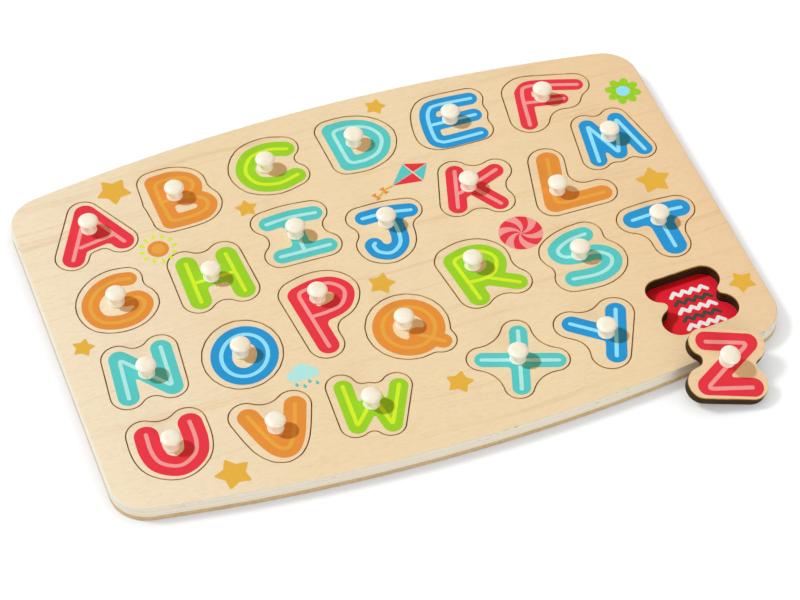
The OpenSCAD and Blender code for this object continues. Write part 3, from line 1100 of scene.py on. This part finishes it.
def makeKite():
    spot = kitePrint
    along, across = spot["side"]
    nose, heel, cross = (Vector((x, 0)) for x in (spot["nose"], spot["heel"], along))
    panels = {"red": [], "teal": []}
    for end, side, ink in ((nose, 1, "red"), (nose, -1, "teal"), (heel, 1, "teal"), (heel, -1, "red")):
        corners = [end, Vector((along, across * side)), cross]
        centre = centreOf(corners)
        panels[ink].append(facing([c + (centre - c).normalized() * spot["spar"] for c in corners], True))
    tail = [heel]
    for t in shares(spot["tailSteps"]):
        tail.append(heel + Vector((-spot["tail"] * t, spot["wave"] * sin(2 * pi * t) * t)))
    bows = []
    tall, wide = spot["bow"]
    for share in spot["bows"]:
        knot = tail[round(spot["tailSteps"] * share)]
        for side in (1, -1):
            wing = [knot] + [knot + Vector((end, side * tall)) for end in (-wide, wide)]
            bows.append(facing(wing, True))
    cord = shifted(strokeShapes(tail, spot["cord"], False), spot["middle"], spot["tilt"])
    flat = [("red", panels["red"]), ("teal", panels["teal"]), ("orange", bows)]
    coats = [(ink, shifted(shapes, spot["middle"], spot["tilt"])) for ink, shapes in flat]
    picture("kite", "ink_red", [("gold", inkLoops(cord, spot["gap"]))] + coats)


makeStars()
makeSun()
makeFlower()
makeSwirl()
makeCloud()
makeKite()
print("sheet printed")


# prints on the recess floors

floorPrint = dict(
    inset=0.05, film=0.04 * mm, petal=(0.62, 0.34), ring=0.6, room=2.0, largest=13.0, fewest=6, kinds=4,
    turn=11)
zigzagPrint = dict(
    left=162.0, right=187.0, rows=[-80.5, -87.5, -94.5, -101.5, -108.5], rise=3.2, teeth=4, half=1.35)


def zigzags():
    spot = zigzagPrint
    coats = {"white": [], "charcoal": []}
    step = (spot["right"] - spot["left"]) / (2 * spot["teeth"])
    for k, row in enumerate(spot["rows"]):
        path = [Vector((spot["left"] + step * n, row + spot["rise"] * (n % 2 - 0.5)))
                for n in range(2 * spot["teeth"] + 1)]
        coats["charcoal" if k % 2 else "white"] += inkLoops(strokeShapes(path, spot["half"]))
    return list(coats.items())


def makeFloor(letter, number):
    ink, place, knobAt, _ = letters[letter]
    loop = [p / mm for p in openingOf(letter)]
    floor = facing(offsetLoop(loop, -floorPrint["inset"]), True)
    loose = letter == leaning["letter"]
    coats = [("crimson", [floor])] + zigzags() if loose else [(ink, [floor])]
    picture("floor." + letter, "ink_" + ink, coats, backingTop)
    if loose:
        return
    middle = Vector(place) + Vector(knobAt)
    reach = min(min((p - middle).length for p in loop) - floorPrint["room"], floorPrint["largest"])
    petal = oval(*(share * reach for share in floorPrint["petal"]))
    ringOf("rosette." + letter, ink + "Line", petal, floorPrint["fewest"] + number % floorPrint["kinds"],
           reach * floorPrint["ring"], floorPrint["turn"] * number, middle, backingTop + floorPrint["film"],
           floorPrint["film"])


for number, letter in enumerate(alphabet):
    makeFloor(letter, number)
print("recess floors printed")


# stage and light

studio = dict(sky=0.04, floorTone=0.35, floorGlow=0.14, floorReach=12)
lamps = [  # name, where it shines from, its light on a level face, spread in degrees, floor only or not
    ("keySun", (-0.566, 0.379, 0.731), (0.43, 0.578, 0.715), 4, False),
    ("warmDome", (0, 0, 1), (0.445, 0.285, 0.138), 170, False),
    ("frontFill", (0.15, -0.98, 0.14), (0.053, 0.066, 0.078), 40, False),
    ("floorSun", (-0.566, 0.379, 0.731), (0.66, 0.66, 0.66), 14, True),
    ("floorDome", (0, 0, 1), (2.1, 2.1, 2.1), 165, True),
]


def makeLamp(name, source, level, spread, floorOnly, floor):
    away = Vector(source).normalized()
    light = bpy.data.lights.new(name, "SUN")
    light.energy = max(level) * pi / away.z
    light.color = [part / max(level) for part in level]
    light.angle = radians(spread)
    lamp = linked(name, light)
    lamp.rotation_euler = away.to_track_quat("Z", "Y").to_euler()
    reach = bpy.data.collections.new(name + "Reach")
    reach.objects.link(floor)
    reach.collection_objects[0].light_linking.link_state = "INCLUDE" if floorOnly else "EXCLUDE"
    lamp.light_linking.receiver_collection = reach


def seenDirectly(start):  # 1 where the eye, or a mirror or glass, looks at the surface
    camera, glossy, through = (start.node("ShaderNodeLightPath", out="Is " + kind + " Ray")
                               for kind in ("Camera", "Glossy", "Transmission"))
    seen = camera + glossy + through
    return seen.maths("MINIMUM", seen, 1.0)


def floorPaper(start):
    tone = studio["floorTone"]
    return {"Base Color": (tone, tone, tone, 1), "Roughness": 0.9,
            "Emission Color": seenDirectly(start) * studio["floorGlow"]}


def makeStage():
    scene = bpy.context.scene
    scene.view_settings.view_transform = "Standard"
    world = bpy.data.worlds.new("studio")
    world.use_nodes = True
    scene.world = world
    world.node_tree.nodes.clear()
    strength = seenDirectly(Wire(world.node_tree)) * (1.0 - studio["sky"]) + studio["sky"]
    sky = strength.node("ShaderNodeBackground", {0: (1, 1, 1, 1), 1: strength})
    sky.node("ShaderNodeOutputWorld", {0: sky})
    bm = bmesh.new()
    bmesh.ops.create_grid(bm, x_segments=2, y_segments=2, size=studio["floorReach"])
    floor = linked("floor", meshFrom(bm, "floor"))
    paper = material("floorPaper", floorPaper, Specular_IOR_Level=0.0, Emission_Strength=1.0)
    floor.data.materials.append(paper)
    for plan in lamps:
        makeLamp(*plan, floor)


makeStage()
print("stage lit")
